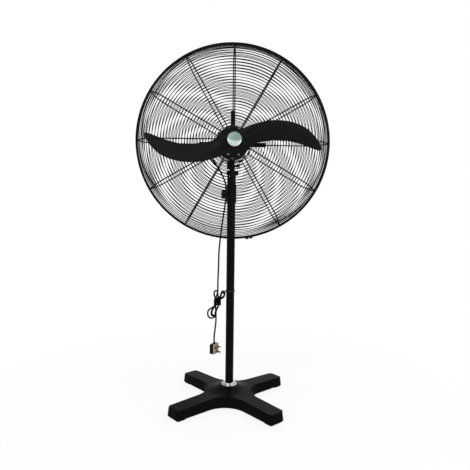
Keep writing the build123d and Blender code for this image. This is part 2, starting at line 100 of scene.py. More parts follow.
def smoothFaces(mesh):
    mesh.polygons.foreach_set("use_smooth", [True] * len(mesh.polygons))


def wear(obj, finish):
    # one finish in place of what the mesh has
    obj.data.materials.clear()
    obj.data.materials.append(materials[finish])


def settle(piece, body, slotName, *replaced):
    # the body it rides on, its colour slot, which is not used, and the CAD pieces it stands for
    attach(piece, body)
    if replaced:
        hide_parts(*replaced)
    return piece


def keepMesh(name, work, finish, creaseDeg=40):
    # a finished bmesh becomes a smooth-shaded piece, with flat faces kept flat
    mesh = bpy.data.meshes.new(name)
    work.to_mesh(mesh)
    work.free()
    smoothFaces(mesh)
    mesh.set_sharp_from_angle(angle=math.radians(creaseDeg))
    mesh.materials.append(materials[finish])
    piece = link(bpy.data.objects.new(name, mesh))
    piece.modifiers.new("flatFaces", "WEIGHTED_NORMAL").keep_sharp = True
    return piece


def camelName(nodeName):
    first, *rest = nodeName.split("_")
    return first + "".join(word.title() for word in rest)


def roundEdges(work, edges, widthMm, segments):
    bmesh.ops.bevel(work, geom=edges, offset=widthMm / 1000, offset_type="OFFSET", segments=segments,
                    profile=0.5, affect="EDGES", clamp_overlap=True)


# points closer than merge become one, faces flatter than flatDeg join, edges over sharpDeg are rounded
softening = {"merge": 2e-5, "flatDeg": 0.5, "sharpDeg": 32, "segments": 3}


def softenNode(nodeName, body, slotName, finish, widthMm, chosen=None):
    # a merged copy of a CAD piece with its sharp edges rounded over
    work = bmesh.new()
    work.from_mesh(nodes[nodeName].data)
    flat, steep = math.radians(softening["flatDeg"]), math.radians(softening["sharpDeg"])
    bmesh.ops.remove_doubles(work, verts=work.verts, dist=softening["merge"])
    bmesh.ops.dissolve_limit(work, angle_limit=flat, verts=work.verts, edges=work.edges)
    sharp = [e for e in work.edges if len(e.link_faces) == 2 and e.calc_face_angle(0) > steep]
    if chosen:
        sharp = [e for e in sharp if chosen(e, (e.verts[0].co + e.verts[1].co) / 2)]
    roundEdges(work, sharp, widthMm, softening["segments"])
    return settle(keepMesh(camelName(nodeName), work, finish), body, slotName, nodeName)


screwSteps = 24      # sides of a small screw


def lathe(outline, place, steps=72, lobes=0, dip=0.0):
    # (radius, height) points in mm turned about the local Z axis; a radius of 0 closes an end
    # lobes are finger dips, as deep as dip's share of the radius at the widest ring
    work = bmesh.new()
    widest = max(radius for radius, height in outline)
    rings = []
    for radius, height in outline:
        ring = []
        for a in ([2 * math.pi * i / steps for i in range(steps)] if radius else [0]):
            r = radius * (1 - dip * (radius / widest) ** 4 * (0.5 - 0.5 * math.cos(lobes * a)) ** 2) / 1000
            ring.append(work.verts.new((r * math.cos(a), r * math.sin(a), height / 1000)))
        rings.append(ring)
    ends = rings[1:] + ([] if len(rings[0]) == 1 else rings[:1])
    for low, high in zip(rings, ends):
        below, above = len(low), len(high)
        for i in range(steps):
            corners = [low[i % below], low[(i + 1) % below], high[(i + 1) % above], high[i % above]]
            # at a closed end two of the corners are one point
            corners = list(dict.fromkeys(corners))
            if len(corners) > 2:
                work.faces.new(corners)
    bmesh.ops.recalc_face_normals(work, faces=work.faces)
    bmesh.ops.transform(work, matrix=place, verts=work.verts)
    return work


def boxes(sizes, place, softMm, segments=2):
    # rounded boxes in mm, each a centre and a size
    work = bmesh.new()
    for centre, size in sizes:
        spot = Matrix.Translation(Vector(centre) / 1000) @ Matrix.Diagonal((*[s / 1000 for s in size], 1))
        bmesh.ops.create_cube(work, size=1.0, matrix=spot)
    roundEdges(work, work.edges[:], softMm, segments)
    bmesh.ops.transform(work, matrix=place, verts=work.verts)
    return work


still = Matrix.Identity(4)
towardsFront = Matrix.Rotation(math.pi / 2, 4, "X")      # local Z to -Y
towardsBack = Matrix.Rotation(-math.pi / 2, 4, "X")      # local Z to +Y
towardsLeft = Matrix.Rotation(-math.pi / 2, 4, "Y")      # local Z to -X
towardsRight = Matrix.Rotation(math.pi / 2, 4, "Y")      # local Z to +X


def headPlace(x, y, z, turn=still):
    # a spot in mm from the fan's axis and the pole, with a local turn
    return Matrix.Translation((x / 1000, y / 1000, headHeight + z / 1000)) @ turn


def newTree(name, **inputs):
    # a Geometry Nodes tree with named inputs, and the sockets of these
    tree = bpy.data.node_groups.new(name, "GeometryNodeTree")
    tree.interface.new_socket("Geometry", in_out="INPUT", socket_type="NodeSocketGeometry")
    for label, kind in inputs.items():
        tree.interface.new_socket(label, in_out="INPUT", socket_type="NodeSocket" + kind)
    tree.interface.new_socket("Geometry", in_out="OUTPUT", socket_type="NodeSocketGeometry")
    return tree, addNode(tree, "NodeGroupInput").outputs


def closeTree(tree, mesh, material, smoothed=True):
    # every tree ends in real faces with their material
    realized = nodeOut(tree, "GeometryNodeRealizeInstances", {"Geometry": mesh})
    smooth = nodeOut(tree, "GeometryNodeSetShadeSmooth", {"Geometry": realized, "Shade Smooth": smoothed})
    painted = nodeOut(tree, "GeometryNodeSetMaterial", {"Geometry": smooth, "Material": material})
    addNode(tree, "NodeGroupOutput", {"Geometry": painted})
    return tree


def roundedLine(tree, mesh, radius, steps):
    # a mesh's edges as a curve with rounded corners
    line = nodeOut(tree, "GeometryNodeMeshToCurve", {"Mesh": mesh})
    corners = {"Curve": line, "Radius": radius, "Count": steps}
    return nodeOut(tree, "GeometryNodeFilletCurve", corners, mode="POLY")


def roundWire(tree, line, sides, radius, capped=False):
    # a wire of round section along a curve
    section = nodeOut(tree, "GeometryNodeCurvePrimitiveCircle", {"Resolution": sides, "Radius": radius})
    swept = {"Curve": line, "Profile Curve": section, "Fill Caps": capped}
    return nodeOut(tree, "GeometryNodeCurveToMesh", swept)


def copiesAt(tree, points, piece, **more):
    # one copy of a piece at each point
    return nodeOut(tree, "GeometryNodeInstanceOnPoints", {"Points": points, "Instance": piece, **more})


def growPiece(name, tree, points, edges, values):
    # what a tree makes of a few points and edges, as a plain mesh
    source = bpy.data.meshes.new(name + "Source")
    source.from_pydata(points, edges, [])
    maker = link(bpy.data.objects.new(name + "Source", source))
    modifier = maker.modifiers.new("grow", "NODES")
    modifier.node_group = tree
    for item in tree.interface.items_tree:
        if item.in_out == "INPUT" and item.name in values:
            modifier[item.identifier] = values[item.name]
    mesh = bake(maker)
    maker.modifiers.remove(modifier)
    bpy.data.objects.remove(maker)
    mesh.name = name
    return link(bpy.data.objects.new(name, mesh))


def spreadTree():
    # copies of one small piece, one at each point
    tree, inputs = newTree("spreadPieces", Piece="Object", Material="Material")
    shape = addNode(tree, "GeometryNodeObjectInfo", {"Object": inputs["Piece"]}).outputs["Geometry"]
    return closeTree(tree, copiesAt(tree, inputs["Geometry"], shape), inputs["Material"])


def spread(name, work, spots, finish):
    # spots in mm from the fan's axis and the pole
    one = keepMesh(name + "One", work, finish)
    points = [headPlace(*spot).translation for spot in spots]
    made = growPiece(name, spreadTree(), points, [], {"Piece": one, "Material": materials[finish]})
    bpy.data.objects.remove(one)
    return made


# camera, from the guard's circle, the pole and the base's corners in the picture
cameraView = {"place": (-0.0797, -2.133, 0.921), "yaw": 0.0462, "pitch": -0.0665, "roll": 0.0123,
              "lens": 35.63, "sensor": 36, "farClip": 50}


def makeCamera():
    yaw, pitch, roll = (cameraView[k] for k in ("yaw", "pitch", "roll"))
    forward = Vector((math.sin(yaw) * math.cos(pitch), math.cos(yaw) * math.cos(pitch), math.sin(pitch)))
    right = Vector((math.cos(yaw), -math.sin(yaw), 0))
    up = right.cross(forward)
    aimed = Matrix((right * math.cos(roll) + up * math.sin(roll),
                    up * math.cos(roll) - right * math.sin(roll), -forward)).transposed()
    data = bpy.data.cameras.new("camera")
    data.sensor_width = cameraView["sensor"]
    data.lens = cameraView["lens"]
    data.clip_end = cameraView["farClip"]
    camera = link(bpy.data.objects.new("camera", data))
    camera.matrix_world = Matrix.Translation(cameraView["place"]) @ aimed.to_4x4()
    scene.camera = camera


makeCamera()
print("camera placed")


def bareTree(owner):
    # an empty shader tree for a material or the world
    owner.use_nodes = True
    owner.node_tree.nodes.clear()
    return owner.node_tree


def newMaterial(name, shader):
    material = bpy.data.materials.new(name)
    tree = bareTree(material)
    surface = addNode(tree, "ShaderNodeBsdfPrincipled", shader)
    addNode(tree, "ShaderNodeOutputMaterial", {"Surface": surface.outputs["BSDF"]})
    return material, tree, surface


def coat(tree, surface, tone, colours, ends, skin, rough, strength, bumpMm):
    # the colour follows one pattern, the gloss and the bump follow another
    ramp = addNode(tree, "ShaderNodeValToRGB", {"Fac": tone})
    for element, colour, end in zip(ramp.color_ramp.elements, colours, ends):
        element.color = hexColour(colour)
        element.position = end
    gloss = nodeOut(tree, "ShaderNodeMapRange", {"Value": skin, "To Min": rough[0], "To Max": rough[1]})
    relief = {"Height": skin, "Strength": strength, "Distance": bumpMm / 1000}
    tree.links.new(ramp.outputs["Color"], surface.inputs["Base Color"])
    tree.links.new(gloss, surface.inputs["Roughness"])
    tree.links.new(nodeOut(tree, "ShaderNodeBump", relief), surface.inputs["Normal"])


# tone drifts over so many grains; ends are the parts of the drift that get the pure colours
paintLook = {"grains": 18, "driftDetail": 3.0, "skinDetail": 2.0, "ends": (0.3, 0.7), "strength": 0.35}


def paint(name, dark, light, rough, grainMm, bumpMm, shader):
    # sprayed or moulded finish: a slow drift of tone, gloss that varies a little, and a fine skin
    material, tree, surface = newMaterial(name, shader)
    place = addNode(tree, "ShaderNodeTexCoord").outputs["Object"]
    slow, fine = 1000 / (grainMm * paintLook["grains"]), 1000 / grainMm
    drift = nodeOut(tree, "ShaderNodeTexNoise",
                    {"Vector": place, "Scale": slow, "Detail": paintLook["driftDetail"]})
    skin = nodeOut(tree, "ShaderNodeTexNoise",
                   {"Vector": place, "Scale": fine, "Detail": paintLook["skinDetail"]})
    coat(tree, surface, drift, (dark, light), paintLook["ends"], skin, rough, paintLook["strength"], bumpMm)
    return material


# the wave node multiplies by a factor of its own; radianMm is the way outwards for one radian of the rings
spunLook = {"factor": 20, "radianMm": 0.4, "wobble": 0.6, "detail": 2.0, "ends": (0, 1), "strength": 0.15,
            "bumpMm": 0.05}


def spun(name, near, far, rough, spot, reach, shader):
    # metal turned on a lathe: fine rings about the fan's axis, and a colour that changes away from a spot,
    # painted shade that is darker near the spot
    material, tree, surface = newMaterial(name, shader)
    place = addNode(tree, "ShaderNodeTexCoord").outputs["Object"]
    centred = nodeOut(tree, "ShaderNodeMapping", {"Vector": place, "Location": (0, 0, -headHeight)})
    wave = {"Vector": centred, "Scale": 1000 / (spunLook["radianMm"] * spunLook["factor"]),
            "Distortion": spunLook["wobble"], "Detail": spunLook["detail"]}
    rings = addNode(tree, "ShaderNodeTexWave", wave, wave_type="RINGS", rings_direction="Y").outputs["Fac"]
    away = addNode(tree, "ShaderNodeVectorMath", {0: place, 1: spot}, operation="DISTANCE").outputs["Value"]
    tone = nodeOut(tree, "ShaderNodeMapRange", {"Value": away, "From Min": reach[0], "From Max": reach[1]})
    coat(tree, surface, tone, (near, far), spunLook["ends"], rings, rough, spunLook["strength"],
         spunLook["bumpMm"])
    return material


# the badge's colour is darker and tinted up to the first distance from a spot above it, painted shade in
# place of a darker reflection on its top, and bare and pale from the second
badgeShade = {"spot": (0.006, -0.268, headHeight + 0.06), "reach": (0.0635, 0.0705)}
materials = {
    # stove enamel over a sand casting: deep black, faint orange peel, soft wide highlights
    "castEnamel": paint("castEnamelBlack", "#080909", "#0f1010", (0.26, 0.4), 4.0, 0.14,
                        {"Specular IOR Level": 0.013}),
    # gloss powder coat on steel tube: tight highlight along the pole
    "poleGloss": paint("powderCoatGlossBlack", "#040404", "#070706", (0.14, 0.22), 2.5, 0.04,
                       {"Specular IOR Level": 0.05}),
    # satin powder coat on the motor and the gear case
    "motorCoat": paint("powderCoatSatinBlack", "#0a0a0a", "#101010", (0.24, 0.36), 2.0, 0.06,
                       {"Specular IOR Level": 0.45}),
    # dipped epoxy coat on the guard's wire
    "wireCoat": paint("epoxyCoatedWire", "#060606", "#0a0a0a", (0.42, 0.55), 3.0, 0.05,
                      {"Specular IOR Level": 0.07}),
    # matt spray on the blade's sheet
    "bladeSpray": paint("mattSprayedSheet", "#101110", "#171817", (0.46, 0.6), 3.0, 0.06,
                        {"Specular IOR Level": 0.12}),
    # moulded ABS knobs and housings
    "mouldedBlack": paint("mouldedAbsBlack", "#0a0a0a", "#101010", (0.4, 0.55), 1.5, 0.08,
                          {"Specular IOR Level": 0.2}),
    # vulcanised rubber feet
    "rubber": paint("vulcanisedRubber", "#0a0a0a", "#101010", (0.6, 0.75), 1.5, 0.1,
                    {"Specular IOR Level": 0.05}),
    # soft PVC cord sheath
    "sheath": paint("pvcCordSheath", "#030303", "#060606", (0.4, 0.5), 2.0, 0.02,
                    {"Specular IOR Level": 0.03}),
    # urea plug moulding: black back, grey-beige face
    "plugBlack": paint("ureaPlugBlack", "#0b0908", "#110f0d", (0.3, 0.42), 2.0, 0.05,
                       {"Specular IOR Level": 0.06}),
    "plugCream": paint("ureaPlugBeige", "#8f8875", "#9e9784", (0.42, 0.52), 2.0, 0.04,
                       {"Specular IOR Level": 0.3}),
    # white marking paint on the dial
    "marking": paint("dialMarkingWhite", "#c9c9c4", "#d6d6d2", (0.5, 0.6), 1.0, 0.01, {}),
    # natural nylon wear pieces
    "nylon": paint("naturalNylon", "#cfcbbd", "#dad7cb", (0.45, 0.6), 2.0, 0.05, {}),
    # zinc-plated steel: pale grey, patchy gloss
    "zinc": paint("zincPlatedSteel", "#8a8c8c", "#a6a8a7", (0.28, 0.42), 1.5, 0.03, {"Metallic": 1.0}),
    # polished chrome on the flange
    "chrome": paint("polishedChrome", "#a2a4a5", "#b2b4b5", (0.06, 0.14), 3.0, 0.01, {"Metallic": 1.0}),
    # plain brass pins
    "brass": paint("plainBrass", "#75684c", "#877a5d", (0.3, 0.42), 1.2, 0.02, {"Metallic": 1.0}),
    # enamelled copper wire of the windings
    "copper": paint("enamelledCopper", "#8f4b2a", "#a85c36", (0.3, 0.45), 1.2, 0.1, {"Metallic": 1.0}),
    # stacked electrical sheet
    "lamination": paint("electricalSheet", "#5d5f61", "#6c6e70", (0.4, 0.55), 1.0, 0.1, {"Metallic": 1.0}),
    # satin spun aluminium badge: bare and pale below, darker and tinted above as painted shade
    # the two colours run from painted shade at the top to bare pale metal at the bottom
    "badge": spun("satinSpunAluminium", "#7c8f8b", "#c0cac6", (0.3, 0.42), badgeShade["spot"],
                  badgeShade["reach"], {"Metallic": 0.75}),
}
# the CAD pieces that show as they are
dress = {
    "poleGloss": ["pole_tube"],
    "zinc": ["pole_bolt", "pole_washer", "pole_insert", "inner_tube", "swivel_pin", "shaft", "bearings"],
    "mouldedBlack": ["speed_switch"],
    "nylon": ["pole_bush", "thrust_washer", "worm_wheel", "capacitor"],
    "brass": ["worm"],
    "copper": ["stator_windings"],
    "lamination": ["stator_core", "rotor_core"],
}
for finish, names in dress.items():
    for name in names:
        wear(nodes[name], finish)
print("materials:", len(materials))

# plug, ties and supply cord: one line from the gland to the neck, and one from there down to the plug
plugSpot = {"place": (-0.0725, -0.009, 0.2515), "turn": math.radians(-29), "shift": 0.007}
plugPlace = (Matrix.Translation(plugSpot["place"]) @ Matrix.Rotation(plugSpot["turn"], 4, "Z")
             @ Matrix.Translation((plugSpot["shift"], 0, 0)))
# the plug's shells with their rounding, the raised fuse carrier, the pins' sleeves and the screw, in mm
plugDetail = {
    "shells": {"plug_back": ("plug_black", "plugBlack", 1.2), "plug_face": ("plug_cream", "plugCream", 1.0),
               "plug_pins": ("brass_pins", "brass", 0.6)},
    "fuse": [((5.4, 0, -3.5), (1.4, 26, 7.5))], "fuseSoft": 0.5,
    "sleeves": [((9.5, y, 7), (9.2, 6.9, 4.5)) for y in (11, -11)], "sleeveSoft": 0.4,
    "screw": [(0, 0), (3.4, 0), (3.4, 0.5), (2.9, 1.0), (0, 1.3)], "screwSpot": (5.1, 0, 13.5),
}


def makePlug():
    made = [softenNode(name, "post", *look) for name, look in plugDetail["shells"].items()]
    fuse = boxes(plugDetail["fuse"], plugPlace, plugDetail["fuseSoft"])
    made.append(settle(keepMesh("plugFuse", fuse, "plugCream"), "post", "plug_cream"))
    sleeves = boxes(plugDetail["sleeves"], plugPlace, plugDetail["sleeveSoft"])
    made.append(settle(keepMesh("plugSleeves", sleeves, "plugBlack"), "post", "plug_black"))
    outwards = Matrix.Translation(Vector(plugDetail["screwSpot"]) / 1000) @ towardsRight
    screw = lathe(plugDetail["screw"], plugPlace @ outwards, screwSteps)
    made.append(settle(keepMesh("plugScrew", screw, "brass"), "post", "brass_pins"))
    return made


# the wrap round the hank: turns of thin cord laid one above the other, a pitch of so many wire radii apart
wrap = {
    "sides": (-0.0740, -0.0440), "depths": (-0.0218, 0.0129), "base": 0.4565, "turns": 7, "pitch": 2.05,
    "wire": 0.0017, "wireSides": 8, "corner": 0.006, "cornerSteps": 6,
}
poleTieSoft = 0.6      # rounding of the tie on the pole, in mm


def wrapTree():
    # one turn round four corners, stacked
    tree, inputs = newTree("wrapTurns", Turns="Int", Wire="Float", Corner="Float", Pitch="Float",
                           Material="Material")
    line = roundedLine(tree, inputs["Geometry"], inputs["Corner"], wrap["cornerSteps"])
    turn = roundWire(tree, line, wrap["wireSides"], inputs["Wire"])
    rise = mathOut(tree, "MULTIPLY", inputs["Wire"], inputs["Pitch"])
    offset = nodeOut(tree, "ShaderNodeCombineXYZ", {"Z": rise})
    stack = nodeOut(tree, "GeometryNodeMeshLine", {"Count": inputs["Turns"], "Offset": offset})
    return closeTree(tree, copiesAt(tree, stack, turn), inputs["Material"])


def makeTies():
    (x0, x1), (y0, y1), z = wrap["sides"], wrap["depths"], wrap["base"]
    corners = [(x0, y0, z), (x1, y0, z), (x1, y1, z), (x0, y1, z)]
    values = {"Turns": wrap["turns"], "Pitch": wrap["pitch"], "Wire": wrap["wire"],
              "Corner": wrap["corner"], "Material": materials["sheath"]}
    tie = growPiece("hankTie", wrapTree(), corners, [(0, 1), (1, 2), (2, 3), (3, 0)], values)
    settle(tie, "post", "knob_plastic", "hank_tie")
    return [tie, softenNode("pole_tie", "post", "knob_plastic", "mouldedBlack", poleTieSoft)]


cord = {"radius": 0.00375, "sides": 4, "steps": 8, "order": 3}
upperRoute = [
    (-0.054, 0.064, 1.206), (-0.076, 0.064, 1.206), (-0.096, 0.0632, 1.1953), (-0.108, 0.0603, 1.176),
    (-0.109, 0.0553, 1.1535), (-0.100, 0.0496, 1.132), (-0.078, 0.0423, 1.1125), (-0.061, 0.036, 1.088),
    (-0.046, 0.030, 1.060),
]
hangRoute = [
    (-0.046, 0.030, 1.060), (-0.031, 0.024, 1.032), (-0.025, 0.024, 1.003), (-0.024, 0.026, 0.973),
    (-0.025, 0.027, 0.944), (-0.028, 0.0275, 0.915), (-0.033, 0.028, 0.878), (-0.039, 0.028, 0.838),
    (-0.045, 0.028, 0.790), (-0.050, 0.0275, 0.742), (-0.054, 0.027, 0.700), (-0.0545, 0.0265, 0.664),
    (-0.055, 0.0245, 0.628), (-0.0565, 0.017, 0.590), (-0.0575, 0.008, 0.558), (-0.0575, 0.008, 0.532),
]
tailRoute = [
    (-0.067, -0.0169, 0.428), (-0.0645, -0.0175, 0.397), (-0.066, -0.0165, 0.364),
    (-0.0695, -0.0142, 0.336), (-0.0725, -0.011, 0.312), (-0.0725, -0.009, 0.295), (-0.0725, -0.009, 0.279),
]
# the hank's turns: left and right side of each loop and the height where it starts to turn back
# corner is the share of half a loop's width that is left between the corners of its end
hank = {
    "start": 0.5245, "waist": 0.467, "left": -0.067, "right": -0.051, "depth": 0.008, "step": 0.0083,
    "corner": 0.414,
    "lower": [(-0.1035, -0.067, 0.4075), (-0.087, -0.068, 0.411), (-0.084, -0.065, 0.416)],
    "upper": [(-0.0745, -0.058, 0.511), (-0.041, -0.0255, 0.512), (-0.044, -0.028, 0.506)],
}


def crossing(a, b):
    # the two bends where the cord leans over from one upright run to the next
    wide, high = math.dist(a[:2], b[:2]) / 2, (b[2] - a[2]) / 2
    reach = (wide * wide + high * high) / (2 * high)
    return [(a[0], a[1], a[2] + reach), (b[0], b[1], b[2] - reach)]


def loopEnd(first, last, y, z, up):
    # four corners round the closed end of a loop
    half = (last - first) / 2
    low, far = hank["corner"] * abs(half) * up, abs(half) * up
    middle, aside = (first + last) / 2, hank["corner"] * half
    return [(first, y, z + low), (middle - aside, y, z + far), (middle + aside, y, z + far),
            (last, y, z + low)]


def hankRoute():
    left, right, waist, y = hank["left"], hank["right"], hank["waist"], hank["depth"]
    route = crossing((hangRoute[-1][0], y, hank["start"]), (left, y, waist))
    for low, top in zip(hank["lower"], hank["upper"]):
        behind = y - hank["step"]
        route += crossing((left, y, waist), (low[0], y, low[2]))
        route += loopEnd(low[0], low[1], y, low[2], -1)
        route += crossing((low[1], y, low[2]), (right, y, waist))
        route += crossing((right, y, waist), (top[1], behind, top[2]))
        route += loopEnd(top[1], top[0], behind, top[2], 1)
        route += crossing((top[0], behind, top[2]), (left, behind, waist))
        y = behind
    return route


def makeCord(name, route):
    data = bpy.data.curves.new(name + "Line", "CURVE")
    data.dimensions = "3D"
    spline = data.splines.new("NURBS")
    spline.points.add(len(route) - 1)
    for point, place in zip(spline.points, route):
        point.co = (*place, 1)
    spline.order_u = cord["order"]
    spline.use_endpoint_u = True
    spline.resolution_u = cord["steps"]
    line = link(bpy.data.objects.new(name + "Line", data))
    path = [v.co.copy() for v in bpy.data.meshes.new_from_object(line).vertices]
    data.bevel_depth = cord["radius"]
    data.bevel_resolution = cord["sides"]
    data.use_fill_caps = True
    mesh = bake(line)
    bpy.data.objects.remove(line)
    mesh.name = name
    smoothFaces(mesh)
    tube = link(bpy.data.objects.new(name, mesh))
    wear(tube, "sheath")
    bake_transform(tube)
    return tube


carried = makePlug() + makeTies()
cordUpper = makeCord("cordUpper", upperRoute)
cordMain = makeCord("cordMain", hangRoute + hankRoute() + tailRoute)
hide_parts("cord_upper")
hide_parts("cord_hang", "cord_hank", "cord_tail")
print("cords and plug made")

# softened copies of the CAD pieces: body, slot, finish and the rounding in mm
softened = {
    "base_feet": ("stand", "rubber_black", "rubber", 2.0),
    "pole_collar": ("stand", "pole_paint", "poleGloss", 1.2),
    "neck_fork": ("post", "pole_paint", "poleGloss", 1.5),
    "tilt_pin": ("post", "bright_steel", "zinc", 0.8),
    "tilt_nut": ("tilt_lock", "tilt_nut_paint", "mouldedBlack", 0.8),
    "tilt_bracket": ("tilt", "pole_paint", "poleGloss", 1.5),
    "oscillation_link": ("link", "bright_steel", "zinc", 0.6),
    "motor_rear_shell": ("head", "motor_paint", "motorCoat", 1.0),
    "motor_front_shell": ("head", "motor_paint", "motorCoat", 1.0),
    "motor_screws": ("head", "bright_steel", "zinc", 0.5),
    "gear_case": ("head", "motor_paint", "motorCoat", 1.2),
    "rear_cover": ("head", "motor_paint", "motorCoat", 1.0),
    "speed_knob": ("speed", "knob_plastic", "mouldedBlack", 0.8),
    "clutch_knob": ("clutch", "knob_plastic", "mouldedBlack", 1.0),
    "crank_disc": ("crank", "bright_steel", "zinc", 0.5),
    "rear_guard_straps": ("head", "guard_paint", "wireCoat", 0.6),
    "strap_bolts": ("head", "bright_steel", "zinc", 0.9),
    "front_plate": ("head", "guard_paint", "wireCoat", 0.6),
    "hub_boss": ("rotor", "blade_paint", "bladeSpray", 1.0),
    "hub_rivets": ("rotor", "blade_paint", "bladeSpray", 1.0),
    "hub_nut": ("rotor", "bright_steel", "zinc", 0.8),
}
# the base is rounded more, in mm, on outer edges above this height and this far from the pole in m
baseEdge = {"rounding": 7.0, "above": 0.036, "beyond": 0.06}


def onBaseTop(edge, middle):
    return edge.is_convex and middle.z > baseEdge["above"] and middle.xy.length > baseEdge["beyond"]


for name, settings in softened.items():
    softenNode(name, *settings)
softenNode("base_cross", "stand", "base_casting", "castEnamel", baseEdge["rounding"], onBaseTop)
print("softened pieces:", len(softened) + 1)

bandDepth = -167      # the clamp band's middle plane, in mm from the pole
# turned pieces: the outline as (radius, height) in mm, where it stands, how it is turned and what it is
turned = {
    "footFlange": {
        "outline": [
            (19.1, 78), (34.6, 78), (35.8, 79.1), (36.2, 80.6), (35.7, 82.1), (34.2, 83.3), (32.2, 83.6),
            (31.0, 83.1), (30.2, 83.2), (29.7, 84.0), (30.2, 85.4), (30.0, 87.4), (29.0, 89.4),
            (27.2, 91.0), (24.8, 91.9), (22.2, 91.6), (20.4, 90.6), (19.1, 90.6)],
        "place": still, "round": {"steps": 72}, "finish": "chrome", "crease": 50,
        "settled": ("stand", "chrome_trim", "foot_flange")},
    "badgeDisc": {
        "outline": [
            (0, 0), (28.8, 0), (28.8, 2.4), (28.3, 3.5), (27.3, 4.0), (26.3, 3.7), (25.6, 3.0),
            (24.7, 2.9), (21, 3.6), (15, 4.5), (7.5, 5.0), (0, 5.2)],
        "place": headPlace(0, -264.8, 0, towardsFront), "round": {"steps": 72},
        "finish": "badge", "crease": 60, "settled": ("head", "badge_silver", "badge")},
    "cableGland": {
        "outline": [
            (0, 0), (9, 0), (9, 5), (8.3, 5.9), (7.1, 6.1), (7.1, 7.3), (6.0, 7.6), (6.0, 8.5),
            (6.7, 8.8), (6.6, 10.1), (5.6, 10.4), (5.6, 11.3), (6.2, 11.6), (6.0, 12.9), (5.1, 13.2),
            (5.1, 14.1), (5.6, 14.4), (5.4, 15.7), (4.7, 16.0), (4.6, 17.0), (4.9, 17.3), (4.7, 19.5),
            (4.2, 19.9), (0, 19.9)],
        "place": headPlace(-34.1, 64, 27, towardsLeft), "round": {"steps": 36},
        "finish": "mouldedBlack", "crease": 40, "settled": ("head", "knob_plastic", "cable_gland")},
    "guardBand": {
        "outline": [
            (403.5, -10.2), (401, -10.4), (401, -11), (404.3, -11), (405, -10.3), (405, 10.3),
            (404.3, 11), (401, 11), (401, 10.4), (403.5, 10.2)],
        "place": headPlace(0, bandDepth, 0, towardsFront), "round": {"steps": 192},
        "finish": "wireCoat", "crease": 40, "settled": ("head", "guard_paint", "guard_band")},
    "heightKnob": {
        "outline": [
            (0, 0), (13, 0), (18.6, 0.7), (20.7, 2.6), (21.5, 6), (21.5, 10.5), (20.4, 14.4),
            (17.6, 17.2), (13.4, 18.5), (11.4, 18.7), (10.9, 18.1), (10.3, 18.1), (9.6, 18.6), (5, 18.9),
            (0, 18.9)],
        "place": Matrix.Translation((-0.0273, 0, 0.964)) @ towardsLeft,
        "round": {"steps": 98, "lobes": 7, "dip": 0.15},
        "finish": "mouldedBlack", "crease": 55, "settled": ("height_clamp", "knob_plastic", "height_knob")},
}


def makeTurned():
    for name, one in turned.items():
        work = lathe(one["outline"], one["place"], **one["round"])
        settle(keepMesh(name, work, one["finish"], one["crease"]), *one["settled"])


makeTurned()
print("turned pieces made")

# ends of the band: two ears under it and the screw that draws them together, in mm from the fan's axis
clamp = {
    "turn": math.radians(-10), "drop": -408.2, "soft": 1.0,
    "ears": [((x, bandDepth, -407.6), (11, 16, 6)) for x in (-8.5, 8.5)],
    "screw": [(0, -18), (1.5, -18), (1.5, 14), (2.6, 14), (2.6, 15.6), (1.9, 16.5), (0, 16.8)],
}


def makeClamp():
    place = headPlace(0, 0, 0) @ Matrix.Rotation(clamp["turn"], 4, "Y")
    ears = keepMesh("bandLug", boxes(clamp["ears"], place, clamp["soft"]), "wireCoat")
    settle(ears, "head", "guard_paint", "band_lug")
    along = Matrix.Translation((0, bandDepth / 1000, clamp["drop"] / 1000)) @ towardsRight
    screw = keepMesh("bandScrew", lathe(clamp["screw"], place @ along, screwSteps), "zinc")
    settle(screw, "head", "bright_steel", "band_screw")


makeClamp()
print("band clamp made")

# blade sheet: front edge x and z, back edge x and z, and the edges' distance from the disc's plane, in mm
# half is half its thickness, and edge the share of that which is left at the edges
blade = {
    "plane": -186.0, "half": 1.5, "edge": 0.35, "camber": 0.28, "across": 14, "between": 4, "crease": 60,
    "rows": [
        (22, 46, 22, -46, 0, 0), (50, 60, 56, -38, -7, 7), (84, 72.5, 86, -6, -12, 11),
        (131, 85, 143, 6, -15, 13), (181, 89, 200, 11.5, -16, 14), (225, 85.5, 246, 4.5, -16, 13),
        (267, 74.5, 286, -5.5, -15, 11), (306, 55.5, 314, -16, -12, 9), (336, 29, 338, -25, -9, 6),
        (356, 4, 354, -30, -5, 4), (366, -13, 362, -31, -2, 2), (369, -20, 367, -29, -1, 1),
    ],
    "discFace": -189.0,
    "boltX": (-22, 22), "boltZ": (-53, 53), "bolt": [(0, 0), (4.4, 0), (4.4, 1.2), (3.4, 2.3), (0, 3.0)],
    "disc": [(6.2, -3), (64, -3), (65.4, -2.4), (66, -1.2), (66, 1.2), (65.4, 2.4), (64, 3), (6.2, 3)],
}


def smoothRows(rows, between):
    # more rows between the given ones, on a curve through them
    out = []
    for i in range(len(rows) - 1):
        p0, p1, p2, p3 = rows[max(i - 1, 0)], rows[i], rows[i + 1], rows[min(i + 2, len(rows) - 1)]
        for k in range(between):
            t = k / between
            out.append([0.5 * (2 * b + (c - a) * t + (2 * a - 5 * b + 4 * c - d) * t * t
                               + (3 * b - a - 3 * c + d) * t ** 3)
                        for a, b, c, d in zip(p0, p1, p2, p3)])
    return out + [list(rows[-1])]


def bladeRing(row):
    # the outline of the sheet's cut at one row
    frontX, frontZ, rearX, rearZ, frontY, rearY = row
    front = Vector((frontX, blade["plane"] + frontY, frontZ))
    across = Vector((rearX, blade["plane"] + rearY, rearZ)) - front
    normal = across.cross(Vector((1, 0, 0))).normalized()
    upper, lower = [], []
    for i in range(blade["across"] + 1):
        t = i / blade["across"]
        middle = front + across * t + normal * (blade["camber"] * across.length * t * (1 - t))
        skin = blade["half"] * min(1, blade["edge"] + min(t, 1 - t) * blade["across"] * (1 - blade["edge"]))
        upper.append(middle + normal * skin)
        lower.append(middle - normal * skin)
    return upper + lower[::-1]


